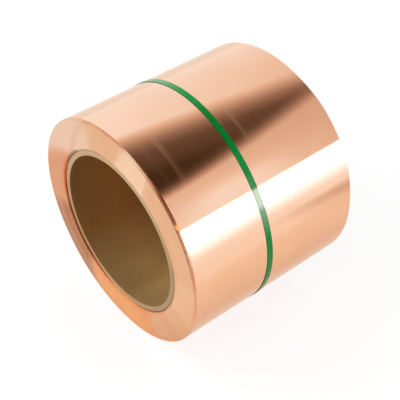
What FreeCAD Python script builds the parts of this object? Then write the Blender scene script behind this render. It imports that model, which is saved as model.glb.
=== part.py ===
import FreeCAD, Part

import math
import os

from FreeCAD import Vector

# Coil of copper strip on a cardboard core, held by one plastic strap.
# It lies on its side. The axis runs along Y, the end that faces -Y is the front, and the
# origin is on the floor under the middle of the coil.

# Driving dimensions, in millimetres and degrees

core_bore = 300.0            # inside diameter of the cardboard core
core_wall = 10.0             # wall of the core
coil_diameter = 444.0        # over the outermost lap
strip_width = 361.0          # width the strip is slit to
strip_thickness = 0.3        # one lap of the winding
winding_slack = 0.2          # between the core and the first lap

laps_per_terrace = 4         # laps that step back together at the edges of the winding
terraces = 3                 # such steps at the core, and again at the rim
terrace_setback = 1.0        # how far each of these steps lies behind the one beside it
lap_groups = 7               # bands of laps between the terraces
group_setback = 0.3          # how far every second band lies behind its neighbours

inner_end_angle = -57.0      # where the strip starts on the core, from the top towards +X
tail_angle = 225.0           # where the strip ends on the outside, from the top towards +X

strap_width = 12.0
strap_thickness = 0.7
strap_slack = 0.2            # between the outermost lap and the strap
strap_from_front = 171.0     # from the front end to the middle of the strap, on the axis
strap_skew = 2.3             # how far the strap is out of square with the axis
strap_nearest_angle = 50.0   # where the skew strap lies nearest to the front, from the top
strap_lap = 34.0             # length of the strap's end that is welded over its start
strap_climb = 8.0            # length over which that end climbs onto the start
strap_joint_angle = 245.0    # where the strap's cut end is, from the top towards +X

# Sizes that follow

core_radius = core_bore / 2 + core_wall
winding_bore_radius = core_radius + winding_slack
coil_radius = coil_diameter / 2
strap_inner_radius = coil_radius + strap_slack
strap_outer_radius = strap_inner_radius + strap_thickness
axis_height = strap_outer_radius
coil_length = strip_width + terraces * terrace_setback
front = -coil_length / 2
overshoot = 4 * strip_thickness      # how far a blank runs past the outline that trims it
strap_middle = front + strap_from_front
strap_reach = strap_width + strap_outer_radius * math.tan(math.radians(strap_skew))


def on_circle(radius, angle, y=0.0):
    """A point at this angle from the top towards +X, on a circle about the axis."""
    turn = math.radians(angle)
    return Vector(radius * math.sin(turn), y, radius * math.cos(turn))


def half_turn(centre, radius, angle):
    """Half a circle about the centre, from this angle on towards +X."""
    points = [centre + on_circle(radius, angle + step) for step in (0, 90, 180)]
    return Part.Arc(*points).toShape()


def spiral_lap(start_radius, angle):
    """A cylinder whose outline is one lap of a spiral, growing by the strip's thickness.

    Two half turns about two centres make the lap, and they meet in a tangent. The cut end of
    the strip is the short straight line that closes it.
    """
    growth = strip_thickness
    start = on_circle(start_radius, angle)
    end = on_circle(start_radius + growth, angle)
    first = half_turn(Vector(0, 0, 0), start_radius, angle)
    second = half_turn(on_circle(growth / 2, angle), start_radius + growth / 2, angle + 180)
    outline = Part.Wire([first, second, Part.LineSegment(end, start).toShape()])
    outline.translate(Vector(0, front - overshoot, 0))
    return Part.Face(outline).extrude(Vector(0, coil_length + 2 * overshoot, 0))


def bands():
    """Inner radius, outer radius and setback of each band of laps, from the core outwards."""
    terrace = laps_per_terrace * strip_thickness
    edge = terraces * terrace
    group = (coil_radius - winding_bore_radius - 2 * edge) / lap_groups
    widths = [terrace] * terraces + [group] * lap_groups + [terrace] * terraces
    outwards = [step * terrace_setback for step in range(1, terraces + 1)]
    between = [group_setback * (number % 2) for number in range(lap_groups)]
    setbacks = outwards[::-1] + between + outwards
    result = []
    inner = winding_bore_radius
    for width, setback in zip(widths, setbacks):
        result.append((inner, inner + width, setback))
        inner += width
    return result


def winding_section():
    """The section of the winding that is turned about the axis.

    All laps have the strip's one width, so a band that lies back at the front stands out by as
    much at the rear.
    """
    front_edge = []
    for inner, outer, setback in bands():
        front_edge.append(Vector(inner, front + setback, 0))
        front_edge.append(Vector(outer, front + setback, 0))
    front_edge[0].x -= overshoot
    front_edge[-1].x += overshoot
    rear_edge = [point + Vector(0, strip_width, 0) for point in reversed(front_edge)]
    return Part.Face(Part.makePolygon(front_edge + rear_edge + front_edge[:1]))


def turned(section):
    """The solid that a section in the X and Y plane leaves when it turns about the axis."""
    return section.revolve(Vector(0, 0, 0), Vector(0, 1, 0), 360)


def tube(inner_radius, outer_radius, start, length):
    """A plain tube about the axis."""
    base = Vector(0, start, 0)
    along = Vector(0, 1, 0)
    outside = Part.makeCylinder(outer_radius, length, base, along)
    return outside.cut(Part.makeCylinder(inner_radius, length, base, along))


def strip_coil():
    """The wound strip: turned, then trimmed to its first and last lap."""
    blank = turned(winding_section())
    last_lap = spiral_lap(coil_radius - strip_thickness, tail_angle)
    first_lap = spiral_lap(winding_bore_radius, inner_end_angle)
    return blank.common(last_lap).cut(first_lap)


def cardboard_core():
    """The paper tube, sawn to the strip's width and flush with the front end."""
    return tube(core_bore / 2, core_radius, front, strip_width)


def strap_end():
    """The end of the strap that climbs onto its start and is welded down."""
    top_radius = strap_outer_radius + strap_thickness
    lap_angle = math.degrees(strap_lap / strap_outer_radius)
    climb_angle = math.degrees(strap_climb / strap_outer_radius)
    foot = strap_joint_angle - lap_angle - climb_angle
    shoulder = strap_joint_angle - lap_angle
    under = [on_circle(strap_outer_radius, angle)
             for angle in (foot, (foot + strap_joint_angle) / 2, strap_joint_angle)]
    over = [on_circle(top_radius, angle)
            for angle in (strap_joint_angle, (shoulder + strap_joint_angle) / 2, shoulder)]
    edges = [
        Part.Arc(*under).toShape(),
        Part.LineSegment(under[-1], over[0]).toShape(),
        Part.Arc(*over).toShape(),
        Part.LineSegment(over[-1], under[0]).toShape(),
    ]
    outline = Part.Wire(edges)
    outline.translate(Vector(0, strap_middle - strap_reach, 0))
    return Part.Face(outline).extrude(Vector(0, 2 * strap_reach, 0))


def between_strap_edges():
    """A disc as thick as the strap is wide, and as far out of square as the strap."""
    corner = Vector(0, strap_middle - strap_width / 2, 0)
    disc = Part.makeCylinder(coil_diameter, strap_width, corner, Vector(0, 1, 0))
    hinge = on_circle(1, strap_nearest_angle + 90)
    disc.rotate(Vector(0, strap_middle, 0), hinge, strap_skew)
    return disc


def strap():
    """The closed band, with its welded end on the hidden side.

    Both are made too wide and then cut along the strap's edges.
    """
    start = strap_middle - strap_reach
    band = tube(strap_inner_radius, strap_outer_radius, start, 2 * strap_reach)
    return band.fuse(strap_end()).removeSplitter().common(between_strap_edges())


pieces = {
    "strip_coil": strip_coil(),
    "cardboard_core": cardboard_core(),
    "strap": strap(),
}

os.makedirs("parts", exist_ok=True)
for name, shape in pieces.items():
    solid = shape.Solids[0]
    solid.translate(Vector(0, 0, axis_height))
    solid.exportStep(f"parts/{name}.step")
    print(name, "valid", solid.isValid(), "solids", len(shape.Solids), "volume", round(solid.Volume))

laps = (coil_radius - winding_bore_radius) / strip_thickness
mean_lap = math.pi * (coil_radius + winding_bore_radius)
print("laps", round(laps), "strip length in metres", round(laps * mean_lap / 1000))
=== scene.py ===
import math
import random

import bmesh
import bpy
from mathutils import Matrix, Vector


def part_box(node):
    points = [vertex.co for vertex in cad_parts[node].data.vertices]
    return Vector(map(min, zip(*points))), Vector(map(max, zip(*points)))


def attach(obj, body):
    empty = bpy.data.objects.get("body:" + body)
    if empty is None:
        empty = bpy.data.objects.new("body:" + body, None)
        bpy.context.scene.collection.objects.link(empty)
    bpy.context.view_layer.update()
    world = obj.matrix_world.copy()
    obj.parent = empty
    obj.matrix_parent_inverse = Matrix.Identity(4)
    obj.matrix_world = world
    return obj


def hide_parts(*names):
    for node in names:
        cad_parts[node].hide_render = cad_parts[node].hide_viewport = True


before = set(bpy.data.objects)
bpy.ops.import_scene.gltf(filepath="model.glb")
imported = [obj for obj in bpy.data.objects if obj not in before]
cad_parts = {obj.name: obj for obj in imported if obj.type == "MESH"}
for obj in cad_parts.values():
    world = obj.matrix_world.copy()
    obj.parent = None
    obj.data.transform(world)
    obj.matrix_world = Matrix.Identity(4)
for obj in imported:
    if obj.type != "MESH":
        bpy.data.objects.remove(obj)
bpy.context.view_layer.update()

# Cardboard core
# A tube of brown kraft paper, wound from glued plies and sawn to the strip's width. The strip is
# wound straight onto it, so the fit holds it. Its sawn ends are paler and show the plies as rings.

core_wall = 0.010
core_low, core_high = (Vector(painted_shade_patch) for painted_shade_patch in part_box("cardboard_core"))
core_radius = (core_high.x - core_low.x) / 2
core_bore_radius = core_radius - core_wall
axis_height = (core_high.z + core_low.z) / 2
core_front = core_low.y
core_rear = core_high.y
core_columns = 240                  # points round the tube
plies = 12
worn_corner = 0.0009


def on_circle(radius, angle, y):
    """A point at this angle from the top towards +X, on a circle about the coil's axis."""
    return Vector((radius * math.sin(angle), y, axis_height + radius * math.cos(angle)))


def skin_of_rows(name, rows, ring_of_rows=True):
    """A mesh from closed rows of points, with a face between neighbours.

    The last row joins the first, or else both are closed by a face of their own.
    """
    count = len(rows[0])
    points = [point for row in rows for point in row]
    last = len(rows) if ring_of_rows else len(rows) - 1
    faces = []
    for row in range(last):
        after = (row + 1) % len(rows)
        for here in range(count):
            there = (here + 1) % count
            faces.append((row * count + here, row * count + there,
                          after * count + there, after * count + here))
    if not ring_of_rows:
        faces.append(tuple(range(count - 1, -1, -1)))
        faces.append(tuple(last * count + place for place in range(count)))
    mesh = bpy.data.meshes.new(name)
    mesh.from_pydata(points, [], faces)
    piece = bpy.data.objects.new(name, mesh)
    bpy.context.scene.collection.objects.link(piece)
    return piece


def shade_smooth(piece, edge_angle):
    """Smooth shading, with a crease where faces meet at more than this angle in degrees."""
    piece.data.shade_smooth()
    piece.data.set_sharp_from_angle(angle=math.radians(edge_angle))


def add(tree, kind, inputs=None, **settings):
    """A node with its settings, its plain values and its links."""
    node = tree.nodes.new(kind)
    for key, value in settings.items():
        setattr(node, key, value)
    for key, value in (inputs or {}).items():
        if isinstance(value, bpy.types.NodeSocket):
            tree.links.new(value, node.inputs[key])
        else:
            node.inputs[key].default_value = value
    return node


def sum_of(tree, operation, *values):
    """The result of one sum on sockets or numbers."""
    node = add(tree, "ShaderNodeMath", {place: value for place, value in enumerate(values)},
               operation=operation)
    return node.outputs[0]


def ramp(tree, factor, stops):
    """A colour ramp from (place, colour) stops."""
    node = add(tree, "ShaderNodeValToRGB", {"Fac": factor})
    elements = node.color_ramp.elements
    while len(elements) < len(stops):
        elements.new(1.0)
    for element, (place, colour) in zip(elements, stops):
        element.position = place
        element.color = (*colour, 1.0)
    return node.outputs["Color"]


def mix(tree, factor, first, second, blend="MIX"):
    """Two colours mixed by a factor."""
    node = add(tree, "ShaderNodeMix", {"Factor": factor, "A": first, "B": second},
               data_type="RGBA", blend_type=blend)
    return node.outputs["Result"]


def noise(tree, scale, detail=3.0, **inputs):
    """The value of a noise texture, along one dimension where W is given."""
    dimensions = "1D" if "W" in inputs else "3D"
    node = add(tree, "ShaderNodeTexNoise", {"Scale": scale, "Detail": detail, **inputs},
               noise_dimensions=dimensions)
    return node.outputs["Fac"]


def bump(tree, height, distance, below=None):
    """A normal tilted by a height of 0 to 1, where 1 stands for this distance in metres."""
    inputs = {"Strength": 1.0, "Distance": distance, "Height": height}
    if below is not None:
        inputs["Normal"] = below
    return add(tree, "ShaderNodeBump", inputs).outputs["Normal"]


def new_material(name):
    """A material with an empty tree and its output."""
    material = bpy.data.materials.new(name)
    material.use_nodes = True
    tree = material.node_tree
    tree.nodes.clear()
    return material, tree, add(tree, "ShaderNodeOutputMaterial")


def coil_coordinates(tree):
    """Degrees from the top towards +X, distance along the axis and distance from the axis."""
    place = add(tree, "ShaderNodeTexCoord").outputs["Object"]
    parts = add(tree, "ShaderNodeSeparateXYZ", {0: place}).outputs
    height = sum_of(tree, "SUBTRACT", parts["Z"], axis_height)
    angle = sum_of(tree, "ARCTAN2", parts["X"], height)
    degrees = sum_of(tree, "DEGREES", angle)
    across = sum_of(tree, "ADD", sum_of(tree, "MULTIPLY", parts["X"], parts["X"]),
                    sum_of(tree, "MULTIPLY", height, height))
    return degrees, parts["Y"], sum_of(tree, "SQRT", across)


def facing_along_axis(tree):
    """How much a face looks along the axis: 1 for the rear end and -1 for the front end."""
    normal = add(tree, "ShaderNodeNewGeometry").outputs["Normal"]
    return add(tree, "ShaderNodeSeparateXYZ", {0: normal}).outputs["Y"]


def step_up(tree, value, start, end):
    """0 at the start, 1 at the end, smooth between them and level beyond. The end may be lower."""
    node = add(tree, "ShaderNodeMapRange", {"Value": value, "From Min": start, "From Max": end},
               interpolation_type="SMOOTHSTEP")
    return node.outputs["Result"]


def between_edges(tree, degrees, radius, left, right, soft, left_slant=0, right_slant=0):
    """1 between two soft edges across the end of the coil, and 0 elsewhere.

    The edges are in degrees at the core's outside, and their slants in degrees per metre of
    radius. An edge may lie below -180 or above 180.
    """
    from_core = sum_of(tree, "SUBTRACT", radius, core_radius)
    middle = (left + right) / 2
    turned = sum_of(tree, "WRAP", sum_of(tree, "SUBTRACT", degrees, middle), 180.0, -180.0)
    past_left = sum_of(tree, "MULTIPLY_ADD", from_core, -left_slant,
                       sum_of(tree, "ADD", turned, middle - left))
    before_right = sum_of(tree, "MULTIPLY_ADD", from_core, right_slant,
                          sum_of(tree, "SUBTRACT", right - middle, turned))
    return sum_of(tree, "MULTIPLY", step_up(tree, past_left, -soft / 2, soft / 2),
                  step_up(tree, before_right, -soft / 2, soft / 2))


def shaded(tree, colour, share, tint):
    """The colour with a share of it multiplied by a tint."""
    return mix(tree, share, colour, mix(tree, 1.0, colour, (*tint, 1), "MULTIPLY"))


def cardboard_material():
    """Brown kraft in the bore and outside, and paler sawn plies on the ends.

    The shades round the tube are painted light and shade, its lit and its shaded sides. Each has its
    left and its right edge and its softness in degrees, and its tint.
    """
    painted_shade_depth = 0.11                # painted shade: the bore is darker this far in from the front end, and painted light makes it lighter beyond
    painted_light_beyond = (1.6, 1.6, 1.6)
    bore_painted_shading = [(-270, -155, 34, (1.10, 1.30, 1.48)), (100, 172, 20, (1.20, 1.25, 1.25)),
                   (-132, 90, 14, (0.93, 0.81, 0.66))]
    sawn_painted_shading = [(-152, -108, 16, (0.92, 0.84, 0.76)), (-75, 50, 40, (1.13, 1.17, 1.26)),
                   (160, 205, 20, (1.10, 0.98, 0.84)), (75, 150, 40, (0.92, 0.93, 0.95))]
    ply_contrast = 0.12
    fibre_height = 0.00008
    least_facing_of_end = 0.6

    material, tree, output = new_material("cardboard")
    degrees, along, radius = coil_coordinates(tree)
    fibre = noise(tree, 260.0, 6.0, Roughness=0.65)
    cloud = noise(tree, 9.0)
    kraft = ramp(tree, cloud, [(0.3, (0.225, 0.109, 0.034)), (0.7, (0.244, 0.122, 0.040))])
    # Painted light and shade in the bore: darker near the front end, lighter beyond and on its lit
    # side.
    kraft = shaded(tree, kraft, step_up(tree, along, core_front, core_front + painted_shade_depth), painted_light_beyond)
    for *edges, tint in bore_painted_shading:
        kraft = shaded(tree, kraft, between_edges(tree, degrees, radius, *edges), tint)
    ply = sum_of(tree, "SINE", sum_of(tree, "MULTIPLY", radius, 2 * math.pi * plies / core_wall))
    pale = sum_of(tree, "MULTIPLY_ADD", ply, ply_contrast, fibre)
    sawn = ramp(tree, pale, [(0.3, (0.49, 0.325, 0.170)), (0.7, (0.59, 0.395, 0.215))])
    # Painted light and shade round the sawn ends.
    for *edges, tint in sawn_painted_shading:
        sawn = shaded(tree, sawn, between_edges(tree, degrees, radius, *edges), tint)
    facing = sum_of(tree, "ABSOLUTE", facing_along_axis(tree))
    is_end = sum_of(tree, "GREATER_THAN", facing, least_facing_of_end)
    shader = add(tree, "ShaderNodeBsdfPrincipled",
                 {"Base Color": mix(tree, is_end, kraft, sawn), "Roughness": 0.75,
                  "Specular IOR Level": 0.12, "Normal": bump(tree, fibre, fibre_height)})
    tree.links.new(shader.outputs[0], output.inputs["Surface"])
    return material


def core_rows():
    """Rows of points round the tube: front end, outside, rear end and bore."""
    inner = core_bore_radius + worn_corner
    outer = core_radius - worn_corner
    end = [inner + (outer - inner) * ply / plies for ply in range(plies + 1)]
    outside = [(core_radius, core_front + worn_corner), (core_radius, core_rear - worn_corner)]
    bore = [(core_bore_radius, core_rear - worn_corner), (core_bore_radius, core_front + worn_corner)]
    section = [(radius, core_front) for radius in end] + outside
    section += [(radius, core_rear) for radius in reversed(end)] + bore
    angles = [2 * math.pi * step / core_columns for step in range(core_columns)]
    return [[on_circle(radius, angle, y) for angle in angles] for radius, y in section]


core = skin_of_rows("core_tube", core_rows())
shade_smooth(core, 50)
core.data.materials.append(cardboard_material())
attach(core, "root")
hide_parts("cardboard_core")

# Copper strip
# One length of thin copper strip with a bright rolled face, wound tight in about 200 laps. The
# ends of the coil are the stacked slit edges of the laps. The laps beside the core and at the rim
# have slipped back, and small gaps stand open where they start. The strip's end lies below.

coil_radius = 0.222
strip_width = core_rear - core_front
strip_thickness = 0.0003
winding_slack = 0.0002              # between the core and the first lap
winding_bore_radius = core_radius + winding_slack
tail_angle = 225                    # where the strip ends outside, in degrees from the top
inner_end_angle = 303               # where it starts on the core
columns_round = 300
columns_to_inner_end = (inner_end_angle - tail_angle) * columns_round // 360
growth_zone = 0.0036                # beside the core and at the rim, where a lap's end is taken up
laps_per_band = 4                   # between the slipped laps
unevenness = 0.00004                # how far those bands differ in place
full_slip = 0.00299                 # of the lap that lies farthest back

# Laps, slip in millimetres and depth of an open gap in millimetres, of each band outwards
core_steps = [(4, 2.99, 0), (4, 2.9, 0), (4, 2.8, 0), (4, 2.6, 0), (2, 2.2, 0), (1, 1.5, 0),
              (1, 1.0, 0), (2, 0.75, 0), (4, 0.55, 0), (4, 0.35, 0), (4, 0.2, 0)]
rim_steps = [(6, 0.05, 2.6), (10, 0.1, 0), (3, 0.15, 0), (1, 0.4, 0), (2, 0.7, 2.2), (1, 1.2, 0),
             (1, 1.8, 0), (2, 2.4, 0.5), (1, 2.99, 0)]


def end_bands():
    """Inner radius, outer radius, slip and gap of each band of laps on an end of the coil."""
    draw = random.Random(7)
    slipped_laps = sum(step[0] for step in core_steps + rim_steps)
    between = coil_radius - winding_bore_radius - slipped_laps * strip_thickness
    count = round(between / (laps_per_band * strip_thickness))
    middle = [(between / count, draw.uniform(0, unevenness), 0) for band in range(count)]
    beside_core, at_rim = ([(laps * strip_thickness, slip / 1000, gap / 1000)
                            for laps, slip, gap in steps] for steps in (core_steps, rim_steps))
    bands = []
    inner = winding_bore_radius
    for width, slip, gap in beside_core + middle + at_rim:
        bands.append((inner, inner + width, slip, gap))
        inner += width
    return bands


def coil_section():
    """Radius, slip, gap and place along the strip: front outwards, barrel, rear inwards."""
    front_end = []
    rear_end = []
    for inner, outer, slip, gap in end_bands():
        for radius in (inner, outer):
            front_end.append((radius, slip, gap, 0))
            rear_end.append((radius, slip, -gap, strip_width))
    barrel = [(coil_radius, full_slip, 0, strip_width * share) for share in (0.25, 0.5, 0.75)]
    return front_end + barrel + rear_end[::-1]


def ease(share):
    """A share held between 0 and 1, with a smooth start and end."""
    held = min(max(share, 0.0), 1.0)
    return held * held * (3 - 2 * held)


def kept_slip(angle, middle, reach, soft, least):
    """1 about the middle angle, and the least beyond the reach, with a soft step. In degrees."""
    away = abs((math.degrees(angle) - middle + 180) % 360 - 180)
    return least + (1 - least) * ease((reach - away) / soft)


def slip_share(radius, angle):
    """How much of its slip a lap keeps round the coil.

    Beside the core the laps slipped most on the left, and at the rim on the right.
    """
    if radius > (coil_radius + core_radius) / 2:
        return kept_slip(angle, middle=50, reach=36, soft=24, least=0.06)
    return kept_slip(angle, middle=-104, reach=74, soft=45, least=0.14)


def with_strip_ends(radius, last_lap, first_lap):
    """The radius once the winding grows by one lap's thickness round the coil.

    Both shares run from 0 to 1 once round, the one from the strip's outer end and the other from
    its inner end. The growth is spread over the laps beside it.
    """
    at_rim = max(radius - coil_radius + growth_zone, 0) / growth_zone
    at_core = max(winding_bore_radius + growth_zone - radius, 0) / growth_zone
    return radius - strip_thickness * (1 - last_lap) * at_rim + strip_thickness * first_lap * at_core


def coil_columns():
    """Angle and both shares of each column of points, with two columns at each strip end."""
    columns = []
    for step in range(columns_round + 1):
        angle = math.radians(tail_angle) + 2 * math.pi * step / columns_round
        last_lap = step / columns_round
        if step == columns_to_inner_end:
            columns.append((angle, last_lap, 1.0))
        first_lap = (step - columns_to_inner_end) / columns_round % 1.0
        columns.append((angle, last_lap, first_lap))
    return columns


def coil_rows():
    """Rows of points round the coil."""
    columns = coil_columns()
    rows = []
    for radius, slip, gap, along_strip in coil_section():
        rows.append([on_circle(with_strip_ends(radius, last_lap, first_lap), angle,
                               core_front + along_strip + (slip + gap) * slip_share(radius, angle))
                     for angle, last_lap, first_lap in columns])
    return rows


def weld(piece):
    """Join the points that lie on one another."""
    touching = 1e-6
    shape = bmesh.new()
    shape.from_mesh(piece.data)
    bmesh.ops.remove_doubles(shape, verts=shape.verts, dist=touching)
    shape.to_mesh(piece.data)
    shape.free()


def hat(tree, value, middle, reach):
    """1 at the middle, falling smoothly to 0 at this reach to both sides."""
    away = sum_of(tree, "ABSOLUTE", sum_of(tree, "SUBTRACT", value, middle))
    return step_up(tree, away, reach, 0.0)


def barrel_marks(tree, degrees, along, marks):
    """The handling marks on the outermost lap added up.

    Each has its place from the front in metres and its reach, its angle and its reach in
    degrees, and its weight.
    """
    total = 0.0
    for place, reach, angle, spread, weight in marks:
        mark = sum_of(tree, "MULTIPLY", hat(tree, along, core_front + place, reach),
                      hat(tree, degrees, angle, spread))
        total = sum_of(tree, "MULTIPLY_ADD", mark, weight, total)
    return total


def slipped_laps(tree, degrees, radius, tone):
    """The copper's tone where the slipped laps are: darker and redder as light gets lost there.

    The shades are painted light and shade: darker and redder where light is lost between the laps,
    warmer where copper mirrors copper, and a painted glint on the outer laps. Each has its zone, its
    left and its right edge and its softness in degrees, and its tint. The second result is 1 below the
    last lap.
    """
    from_core = sum_of(tree, "SUBTRACT", radius, winding_bore_radius)
    from_rim = sum_of(tree, "SUBTRACT", coil_radius, radius)
    below_last_lap = step_up(tree, from_rim, strip_thickness * 6 / 5, strip_thickness * 4 / 3)
    outer_laps = sum_of(tree, "MULTIPLY", step_up(tree, from_rim, 0.0068, 0.0062), below_last_lap)
    zones = {"beside core": step_up(tree, from_core, 0.0036, 0.0022),
             "first laps": step_up(tree, from_core, 0.0070, 0.0054),
             "next laps": step_up(tree, from_core, 0.0120, 0.0080),
             "inner laps": step_up(tree, from_core, 0.0180, 0.0080),
             "inner half": step_up(tree, from_core, 0.0450, 0.0200),
             "middle laps": hat(tree, from_core, 0.0280, 0.0120),
             "open gap": hat(tree, from_rim, 0.0074, 0.0016),
             "below the rim": step_up(tree, hat(tree, from_rim, 0.0040, 0.0032), 0.0, 0.4),
             "outer laps": outer_laps}
    shades = [("inner laps", -165, -58, 24, (1.0, 0.90, 0.78)),
              ("inner laps", 135, 172, 30, (1.0, 0.92, 0.84)),
              ("inner half", -146, -106, 12, (1.0, 0.84, 0.70)),
              ("middle laps", -146, -106, 12, (0.86, 0.76, 0.62)),
              ("next laps", -146, -104, 8, (0.74, 0.44, 0.24)),
              ("next laps", -104, -72, 14, (0.92, 0.70, 0.48)),
              ("first laps", -144, -88, 10, (0.74, 0.52, 0.30)),
              ("beside core", -94, -42, 8, (0.36, 0.26, 0.20)),
              ("beside core", -42, -10, 10, (0.72, 0.62, 0.55)),
              ("first laps", -68, -44, 10, (0.66, 0.60, 0.56)),
              ("beside core", 74, 122, 20, (0.62, 0.48, 0.38)),
              ("beside core", 122, 165, 10, (0.56, 0.38, 0.26)),
              ("inner laps", 50, 95, 20, (0.94, 0.93, 0.91)),
              ("outer laps", -34, -8, 10, (0.99, 0.88, 0.76)),
              ("outer laps", -8, 10, 8, (0.84, 0.66, 0.58)),
              ("outer laps", 33, 51, 8, (0.50, 0.28, 0.16)),
              # a painted glint where the soft box starts
              ("outer laps", 49.3, 51.8, 1, (1.9, 1.7, 0.8)),
              ("below the rim", 51, 68, 5, (0.85, 0.78, 0.74)),
              ("below the rim", 51, 100, 20, (0.86, 0.73, 0.66)),
              # painted shadow in the open gap at the rim
              ("open gap", 26, 52, 10, (0.45, 0.30, 0.22))]
    for zone, *edges, tint in shades:
        share = sum_of(tree, "MULTIPLY", between_edges(tree, degrees, radius, *edges), zones[zone])
        tone = shaded(tree, tone, share, tint)
    return tone, below_last_lap


def copper_material():
    """Bright rolled copper: almost a mirror, blurred along the axis by the rolling lines."""
    bright_roughness = 0.050
    haze_roughness = 0.04           # added by a faint haze in long clouds
    flank_roughness = 0.35          # added below the last lap, on the flanks of the bands
    line_height = 0.000004
    dent_depth = 0.00004
    haze_grain = (9.0, 60.0, 9.0)   # finer along the axis
    dented = [(0.050, 0.0090, 22, 17, 0.4), (0.196, 0.0080, 23, 12, 0.4), (0.036, 0.0030, 21, 1.5, 0.5),
              (0.176, 0.0040, 4, 2.0, -0.8), (0.175, 0.0040, 20.5, 2.5, -0.8)]
    scuffed = [(0.052, 0.0110, 22, 22, 0.10), (0.049, 0.0040, 24, 16, 0.05),
               (0.196, 0.0085, 23, 15, 0.12), (0.024, 0.0080, 20, 16, 0.05)]

    material, tree, output = new_material("bright_copper")
    degrees, along, radius = coil_coordinates(tree)
    round_coil = add(tree, "ShaderNodeTangent", direction_type="RADIAL", axis="Y")
    cloud = noise(tree, 5.0)
    tone = ramp(tree, cloud, [(0.3, (0.945, 0.625, 0.465)), (0.7, (0.965, 0.650, 0.492))])
    rolled = noise(tree, 1.0, 4.0, W=sum_of(tree, "MULTIPLY", along, 420.0))
    dents = barrel_marks(tree, degrees, along, dented)
    place = add(tree, "ShaderNodeTexCoord").outputs["Object"]
    stretched = add(tree, "ShaderNodeVectorMath", {0: place, 1: haze_grain}, operation="MULTIPLY")
    haze = noise(tree, 1.0, 4.0, Vector=stretched.outputs["Vector"])
    scuffs = sum_of(tree, "MULTIPLY_ADD", step_up(tree, haze, 0.45, 0.80), haze_roughness,
                    barrel_marks(tree, degrees, along, scuffed))
    # Painted light and shade on the slipped laps and on the walls of their bands.
    tone, below_last_lap = slipped_laps(tree, degrees, radius, tone)
    roughness = sum_of(tree, "MULTIPLY_ADD", below_last_lap, flank_roughness,
                       sum_of(tree, "ADD", scuffs, bright_roughness))

    # Painted shadow: where the soft box lights the barrel, the flanks just inside the rim are darkened
    # as if in its shadow.
    inside_rim = step_up(tree, radius, coil_radius - 4 * strip_thickness,
                         coil_radius - 6 * strip_thickness)
    painted_flank_shadow = sum_of(tree, "MULTIPLY", inside_rim,
                       between_edges(tree, degrees, radius, 51.8, 63, 2))
    tone = shaded(tree, tone, painted_flank_shadow, (0.45, 0.48, 0.48))

    normal = bump(tree, rolled, line_height)
    normal = bump(tree, dents, dent_depth, normal)
    shader = add(tree, "ShaderNodeBsdfPrincipled",
                 {"Base Color": tone, "Metallic": 1.0, "Roughness": roughness, "Anisotropic": 0.7,
                  "Anisotropic Rotation": 0.25, "Tangent": round_coil.outputs[0],
                  "Normal": normal})
    tree.links.new(shader.outputs[0], output.inputs["Surface"])
    return material


def slit_edge_material():
    """The stacked slit edges of the laps: duller, finely ringed, with fans of light and shade.

    The fans are painted light and shade, the reflections that edges leaning a little one way would
    give. Each has its left edge, its right edge and its softness in degrees, the slants of both edges,
    and its tint.
    """
    ring_height = 0.00002
    ring_share = 0.75
    fans = [(-208, -142, 10, 0, -240, (1.05, 0.78, 0.47)),
            (-142, -106, 12, -240, 0, (0.62, 0.49, 0.40)),
            (-106, -53, 18, 0, -380, (0.90, 0.72, 0.65)),
            (-53, -24, 12, -380, 65, (1.07, 1.28, 1.66)),
            (-58, -50, 9, 590, 590, (0.90, 0.87, 0.85)),
            (2, 30, 6, 130, -45, (1.13, 1.37, 1.64)),
            (28.5, 31, 1.5, -45, -45, (0.95, 0.90, 0.88)),
            (84, 112, 5, 0, 20, (1.05, 1.08, 1.12)),
            (125, 160, 24, 0, 0, (0.96, 0.88, 0.82))]

    material, tree, output = new_material("slit_edges")
    degrees, along, radius = coil_coordinates(tree)
    round_coil = add(tree, "ShaderNodeTangent", direction_type="RADIAL", axis="Y")
    rings = noise(tree, 1.0, 4.0, W=sum_of(tree, "MULTIPLY", radius, 1100.0))
    streaks = noise(tree, 1.0, 5.0, W=sum_of(tree, "MULTIPLY", degrees, 0.11))
    grain = sum_of(tree, "MULTIPLY_ADD", streaks, 1 - ring_share,
                   sum_of(tree, "MULTIPLY", rings, ring_share))
    tone = ramp(tree, grain, [(0.35, (0.850, 0.480, 0.277)), (0.65, (0.915, 0.545, 0.331))])
    # Painted fans of light and shade.
    for *edges, tint in fans:
        tone = shaded(tree, tone, between_edges(tree, degrees, radius, *edges), tint)
    # Painted light and shade on the slipped laps, as on the copper.
    tone, below_last_lap = slipped_laps(tree, degrees, radius, tone)
    shader = add(tree, "ShaderNodeBsdfPrincipled",
                 {"Base Color": tone, "Metallic": 1.0, "Roughness": 0.30, "Anisotropic": 0.2,
                  "Tangent": round_coil.outputs[0], "Normal": bump(tree, rings, ring_height)})
    tree.links.new(shader.outputs[0], output.inputs["Surface"])
    return material


coil = skin_of_rows("copper_strip_coil", coil_rows())
weld(coil)
shade_smooth(coil, 35)
coil.data.materials.append(copper_material())
coil.data.materials.append(slit_edge_material())
for face in coil.data.polygons:
    face.material_index = 1 if abs(face.normal.y) > 0.5 else 0
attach(coil, "root")
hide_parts("strip_coil")

# Strap
# A band of green plastic strapping, pulled tight round the middle of the coil. Its end is lapped
# over its start and welded, on the side that the photograph doesn't show.

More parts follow.
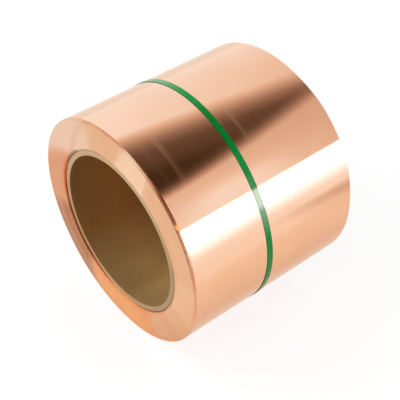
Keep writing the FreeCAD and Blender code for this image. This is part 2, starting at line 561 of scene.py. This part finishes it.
strap_low, strap_high = (Vector(painted_shade_patch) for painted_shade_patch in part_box("strap"))
strap_width = 0.012
strap_middle = (strap_high.y + strap_low.y) / 2
strap_thickness = 0.0007
strap_corner = 0.00018              # taken off each edge
weld_gap = 0.00003                  # between the lapped end and the start under it
inside_solid = 0.00004              # how far the strap's outside lies inside the solid's
strap_outer_radius = (strap_high.z - strap_low.z) / 2 - inside_solid
strap_inner_radius = strap_outer_radius - strap_thickness
strap_skew = (strap_high.y - strap_low.y - strap_width) / 2     # how far it leans to the front
strap_nearest_angle = math.radians(50)                          # and at which angle it does
strap_joint_angle = math.radians(245)
strap_lap = 0.034
strap_climb = 0.008
strap_sections = 300


def strap_section(radius, angle):
    """The strap's section at one place along it, with its corners taken off."""
    middle = strap_middle - strap_skew * math.cos(angle - strap_nearest_angle)
    front = middle - strap_width / 2
    rear = middle + strap_width / 2
    outside = radius + strap_thickness
    outline = [(radius, front + strap_corner), (radius, rear - strap_corner),
               (radius + strap_corner, rear), (outside - strap_corner, rear),
               (outside, rear - strap_corner), (outside, front + strap_corner),
               (outside - strap_corner, front), (radius + strap_corner, front)]
    return [on_circle(height, angle, y) for height, y in outline]


def strap_rows():
    """Sections along the strap, from its start under the joint round to its cut end on top."""
    lap = strap_lap / strap_outer_radius
    climb = strap_climb / strap_outer_radius
    start = strap_joint_angle - lap
    rows = []
    for step in range(strap_sections + 1):
        angle = start + (2 * math.pi + lap) * step / strap_sections
        rise = ease((angle - (start + 2 * math.pi - climb)) / climb)
        rows.append(strap_section(strap_inner_radius + rise * (strap_thickness + weld_gap), angle))
    return rows


def strap_material():
    """Glossy green polyester with faint lines along its length.

    It is glossier where the soft box shows in it, and down the left side of the coil. Its front edge
    face has a painted shadow in two stretches, and painted shade makes its colour deeper where the room
    is dark.
    """
    line_height = 0.00001
    painted_shade_tint = (0.4, 0.69, 0.48)
    dark = (0.1, 0.1, 0.1)

    material, tree, output = new_material("green_strap")
    degrees, along, radius = coil_coordinates(tree)
    lines = noise(tree, 1.0, 2.0, W=sum_of(tree, "MULTIPLY", along, 2500.0))
    colour = ramp(tree, lines, [(0.3, (0.001, 0.270, 0.044)), (0.7, (0.002, 0.324, 0.062))])
    # Painted shade where the room overhead is dark.
    colour = shaded(tree, colour, between_edges(tree, degrees, radius, 8, 34, 12), painted_shade_tint)
    # Painted shadow on the front edge face, in two stretches.
    stretches = sum_of(tree, "ADD", between_edges(tree, degrees, radius, 51, 57, 2),
                       step_up(tree, degrees, 80.0, 92.0))
    edge_face = step_up(tree, facing_along_axis(tree), -0.5, -0.9)
    colour = shaded(tree, colour, sum_of(tree, "MULTIPLY", edge_face, stretches), dark)
    in_box = sum_of(tree, "MULTIPLY", step_up(tree, degrees, 51.6, 53.2), 0.65)
    in_box = sum_of(tree, "MULTIPLY_ADD", step_up(tree, degrees, 43.0, 50.0), 0.35, in_box)
    glossier = sum_of(tree, "MULTIPLY", in_box, step_up(tree, degrees, 78.0, 66.0))
    glossier = sum_of(tree, "MULTIPLY_ADD", step_up(tree, degrees, 0.0, -20.0), 0.58, glossier)
    shader = add(tree, "ShaderNodeBsdfPrincipled",
                 {"Base Color": colour, "Roughness": 0.14, "Specular IOR Level": 0.13,
                  "Coat Weight": glossier, "Coat Roughness": 0.06, "Coat IOR": 2.08,
                  "Normal": bump(tree, lines, line_height)})
    tree.links.new(shader.outputs[0], output.inputs["Surface"])
    return material


strap = skin_of_rows("green_strap", strap_rows(), ring_of_rows=False)
shade_smooth(strap, 30)
strap.data.materials.append(strap_material())
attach(strap, "root")
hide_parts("strap")

# Floor and studio
# A wide white floor, and a white room with a dark patch overhead and one soft box to the right of
# the coil. The bright copper mirrors the room, and the floor keeps the coil's shadow.

floor_size = 16.0


def mirrored_floor(tree):
    """The floor as the copper shows it: warm beside the coil, and white farther off."""
    place = add(tree, "ShaderNodeTexCoord").outputs["Object"]
    parts = add(tree, "ShaderNodeSeparateXYZ", {0: place}).outputs
    past_end = sum_of(tree, "SUBTRACT", sum_of(tree, "ABSOLUTE", parts["Y"]), strip_width / 2)
    past_end = sum_of(tree, "MAXIMUM", past_end, 0.0)
    away = sum_of(tree, "SQRT", sum_of(tree, "ADD", sum_of(tree, "MULTIPLY", parts["X"], parts["X"]),
                                       sum_of(tree, "MULTIPLY", past_end, past_end)))

    # A share of 0 is under the coil, 0.5 is a metre away from it, and 1 is endlessly far.
    share = sum_of(tree, "DIVIDE", away, sum_of(tree, "ADD", away, 1.0))
    # Painted shadow and bounce: to the right the floor turns dark and copper-coloured towards the coil.
    right = ramp(tree, share, [(0.0, (0.30, 0.16, 0.09)), (0.18, (0.53, 0.39, 0.30)),
                               (0.27, (0.595, 0.48, 0.375)), (0.375, (0.635, 0.54, 0.435)),
                               (0.42, (0.68, 0.595, 0.515)), (0.58, (0.67, 0.64, 0.58)),
                               (0.70, (0.69, 0.68, 0.655)), (0.88, (0.89, 0.93, 1.02))])
    left = ramp(tree, share, [(0.0, (0.63, 0.585, 0.53)), (0.35, (0.63, 0.585, 0.53)),
                              (0.6, (0.60, 0.56, 0.50)), (0.85, (0.62, 0.60, 0.57))])

    # Painted shade: behind the coil and to its right, a soft patch of the floor is darker.
    behind = sum_of(tree, "MULTIPLY_ADD", parts["X"], -0.3, parts["Y"])
    painted_shade_patch = sum_of(tree, "MULTIPLY", step_up(tree, behind, 0.15, 0.42),
                    hat(tree, parts["X"], 0.84, 0.52))
    right = shaded(tree, right, painted_shade_patch, (0.74, 0.60, 0.52))
    to_right = add(tree, "ShaderNodeMapRange",
                   {"Value": parts["X"], "From Min": 0.05, "From Max": 0.25})
    return mix(tree, to_right.outputs["Result"], left, right)


def floor_material():
    """White paper, shown white to the camera but for the shadow, and warm white in the copper."""
    to_camera = 0.25                # how much of the shadow shows
    glow_to_camera = 0.80
    in_copper = 1.5
    paper = 0.80
    material, tree, output = new_material("white_floor")
    light = add(tree, "ShaderNodeLightPath").outputs
    shadow = add(tree, "ShaderNodeBsdfDiffuse", {"Color": (to_camera, to_camera, to_camera, 1)})
    glow = add(tree, "ShaderNodeEmission", {"Color": (1, 1, 1, 1), "Strength": glow_to_camera})
    shown = add(tree, "ShaderNodeAddShader", {0: shadow.outputs[0], 1: glow.outputs[0]})
    plain = add(tree, "ShaderNodeBsdfDiffuse", {"Color": (paper, paper, paper, 1)})
    # In the copper the floor glows, with painted shadow and bounce beside the coil.
    warm = add(tree, "ShaderNodeEmission", {"Color": mirrored_floor(tree), "Strength": in_copper})
    mirrored = add(tree, "ShaderNodeMixShader", {0: light["Is Glossy Ray"], 1: plain.outputs[0],
                                                2: warm.outputs[0]})
    surface = add(tree, "ShaderNodeMixShader", {0: light["Is Camera Ray"], 1: mirrored.outputs[0],
                                               2: shown.outputs[0]})
    tree.links.new(surface.outputs[0], output.inputs["Surface"])
    return material


def studio_floor():
    """The floor under the coil."""
    half = floor_size / 2
    corners = [(-half, -half, 0), (half, -half, 0), (half, half, 0), (-half, half, 0)]
    mesh = bpy.data.meshes.new("floor")
    mesh.from_pydata(corners, [], [(0, 1, 2, 3)])
    floor = bpy.data.objects.new("floor", mesh)
    bpy.context.scene.collection.objects.link(floor)
    mesh.materials.append(floor_material())
    return floor


def dark_patch(tree, sideways, lean):
    """How dark the room is overhead: a ceiling of dark cloth, narrower the more a view leans.

    Sideways is a direction's angle from straight up towards +X, and lean its angle towards
    either end of the coil, both in degrees. Darkness runs from 0 to 3.
    """
    nearest_lean = 26.0             # at which the patch's two edges are given
    left_edge_there = -25.5
    right_edge_there = 26.6
    left_soft = 33.0
    cloth = 1.42                    # darkness that the cloth's left edge brings
    deepens_before = 7.5            # where it starts to deepen, in degrees before that edge
    deepening = 0.00069             # darkness added by the square of the degrees from there
    penumbra = 0.20                 # darkness beside the right edge
    end_walls_lean = 32.0           # beyond which the right side of the room darkens too

    past = sum_of(tree, "SUBTRACT", lean, nearest_lean)
    beyond = sum_of(tree, "MAXIMUM", past, 0.0)
    left_edge = sum_of(tree, "MULTIPLY_ADD", past, 2.26, left_edge_there)
    right_edge = sum_of(tree, "MULTIPLY_ADD", sum_of(tree, "POWER", beyond, 1.7), -0.293,
                        right_edge_there)
    from_left = sum_of(tree, "SUBTRACT", sideways, left_edge)
    from_right = sum_of(tree, "SUBTRACT", right_edge, sideways)
    inside = sum_of(tree, "MAXIMUM", sum_of(tree, "ADD", from_left, deepens_before), 0.0)
    deeper = sum_of(tree, "MULTIPLY", sum_of(tree, "MULTIPLY", inside, inside), deepening)
    left_side = step_up(tree, from_left, -left_soft / 2, left_soft / 2)
    patch = sum_of(tree, "MULTIPLY_ADD", left_side, cloth, deeper)
    patch = sum_of(tree, "MULTIPLY", patch, step_up(tree, from_right, -11.0, 9.0))
    beside = sum_of(tree, "MULTIPLY", step_up(tree, from_right, -80.0, 0.0), left_side)
    patch = sum_of(tree, "MULTIPLY_ADD", beside, penumbra, patch)

    # Towards both ends of the coil the room is a little darker on both sides of the patch.
    far = sum_of(tree, "MAXIMUM", sum_of(tree, "SUBTRACT", lean, end_walls_lean), 0.0)
    right_wall = sum_of(tree, "MULTIPLY", step_up(tree, from_right, 0.0, -15.0), far)
    patch = sum_of(tree, "MULTIPLY_ADD", right_wall, 0.010, patch)
    box_glow = sum_of(tree, "MULTIPLY", hat(tree, lean, 30.5, 6.5), step_up(tree, sideways, 32.0, 56.0))
    patch = sum_of(tree, "MULTIPLY_ADD", box_glow, -0.19, patch)
    left_wall = sum_of(tree, "MULTIPLY", step_up(tree, from_left, -90.0, -20.0), beyond)
    return sum_of(tree, "MULTIPLY_ADD", left_wall, 0.012, patch)


def soft_box(tree, sideways, along):
    """Where the soft box stands to the right, and its shader.

    Its top edge is sharp, its middle far brighter than white, and it fades downwards.
    """
    top = 66.0
    middle_top = 67.2
    share = sum_of(tree, "MULTIPLY", step_up(tree, sideways, top, middle_top),
                   step_up(tree, along, -0.2, 0.1))
    middle = sum_of(tree, "MULTIPLY", step_up(tree, sideways, middle_top, 68.6),
                    step_up(tree, sideways, 90.0, 82.0))
    fading = step_up(tree, sideways, 94.0, 80.0)
    strength = sum_of(tree, "MULTIPLY_ADD", middle, 2.3, sum_of(tree, "ADD", fading, 1.4))
    colour = mix(tree, middle, (0.97, 1.0, 1.06, 1), (1.03, 0.87, 0.86, 1))
    box = add(tree, "ShaderNodeBackground", {"Color": colour, "Strength": strength})
    return share, box.outputs[0]


def studio_room():
    """The room in all directions, as the copper mirrors it. It is plain white to the camera."""
    least_lean = 20.0
    darkest = 3.0
    plain_light = 0.75              # from the room on what isn't a mirror
    world = bpy.data.worlds.new("studio")
    bpy.context.scene.world = world
    world.use_nodes = True
    tree = world.node_tree
    tree.nodes.clear()
    direction = add(tree, "ShaderNodeTexCoord").outputs["Generated"]
    parts = add(tree, "ShaderNodeSeparateXYZ", {0: direction}).outputs
    sideways = sum_of(tree, "DEGREES", sum_of(tree, "ARCTAN2", parts["X"], parts["Z"]))
    lean = sum_of(tree, "ABSOLUTE", sum_of(tree, "DEGREES", sum_of(tree, "ARCSINE", parts["Y"])))
    darkness = dark_patch(tree, sideways, sum_of(tree, "MAXIMUM", lean, least_lean))
    colour = ramp(tree, sum_of(tree, "DIVIDE", darkness, darkest),
                  [(0.0, (1.0, 1.01, 0.99)), (0.05, (0.870, 0.713, 0.593)),
                   (0.157, (0.639, 0.456, 0.344)), (0.37, (0.334, 0.216, 0.159)),
                   (0.63, (0.148, 0.088, 0.057)), (0.967, (0.062, 0.033, 0.015))])
    room = add(tree, "ShaderNodeBackground", {"Color": colour, "Strength": 1.0})
    box_share, box = soft_box(tree, sideways, parts["Y"])
    mirrored = add(tree, "ShaderNodeMixShader", {0: box_share, 1: room.outputs[0], 2: box})

    light = add(tree, "ShaderNodeLightPath").outputs
    plain = add(tree, "ShaderNodeBackground", {"Color": (1, 1, 1, 1), "Strength": plain_light})
    white = add(tree, "ShaderNodeBackground", {"Color": (1, 1, 1, 1), "Strength": 1.0})
    soft = add(tree, "ShaderNodeMixShader", {0: light["Is Glossy Ray"], 1: plain.outputs[0],
                                            2: mirrored.outputs[0]})
    shown = add(tree, "ShaderNodeMixShader", {0: light["Is Camera Ray"], 1: soft.outputs[0],
                                             2: white.outputs[0]})
    add(tree, "ShaderNodeOutputWorld", {"Surface": shown.outputs[0]})


def soft_lamp(name, place, aim, size, power):
    """A square lamp that faces a point and that the copper doesn't mirror."""
    lamp = bpy.data.lights.new(name, "AREA")
    lamp.size = size
    lamp.energy = power
    holder = bpy.data.objects.new(name, lamp)
    holder.location = place
    holder.rotation_euler = (Vector(aim) - Vector(place)).to_track_quat("-Z", "Y").to_euler()
    holder.visible_glossy = False
    bpy.context.scene.collection.objects.link(holder)


studio_floor()
studio_room()
soft_lamp("key_lamp", place=(-1.2, -1.6, 2.2), aim=(0, 0, 0.2), size=1.6, power=24)

# Camera
# It stands in front of the coil's end face, to its right and well above it, and looks down. Its
# place is given from the middle of the front end, in the camera's own directions.

photo_size = 400.0
focal_length_in_pixels = 963.9
sensor_width = 36.0
camera_right = Vector((0.6396, 0.7687, 0.0017))
camera_up = Vector((-0.5225, 0.4331, 0.7344))
end_middle_to_right = -0.6611 * coil_radius     # where the middle of the front end lies
end_middle_upwards = -0.2615 * coil_radius
end_middle_ahead = 7.743 * coil_radius


def photo_camera():
    """The camera at the photograph's place and angle."""
    data = bpy.data.cameras.new("camera")
    data.sensor_width = sensor_width
    data.lens = sensor_width * focal_length_in_pixels / photo_size
    right = camera_right.normalized()
    back = right.cross(camera_up).normalized()
    up = back.cross(right)
    turn = Matrix((right, up, back)).transposed()
    end_middle = Vector((0, core_front, axis_height))
    from_camera = turn @ Vector((end_middle_to_right, end_middle_upwards, -end_middle_ahead))
    camera = bpy.data.objects.new("camera", data)
    camera.matrix_world = Matrix.Translation(end_middle - from_camera) @ turn.to_4x4()
    bpy.context.scene.collection.objects.link(camera)
    return camera


bpy.context.scene.camera = photo_camera()
bpy.context.scene.view_settings.view_transform = "Standard"
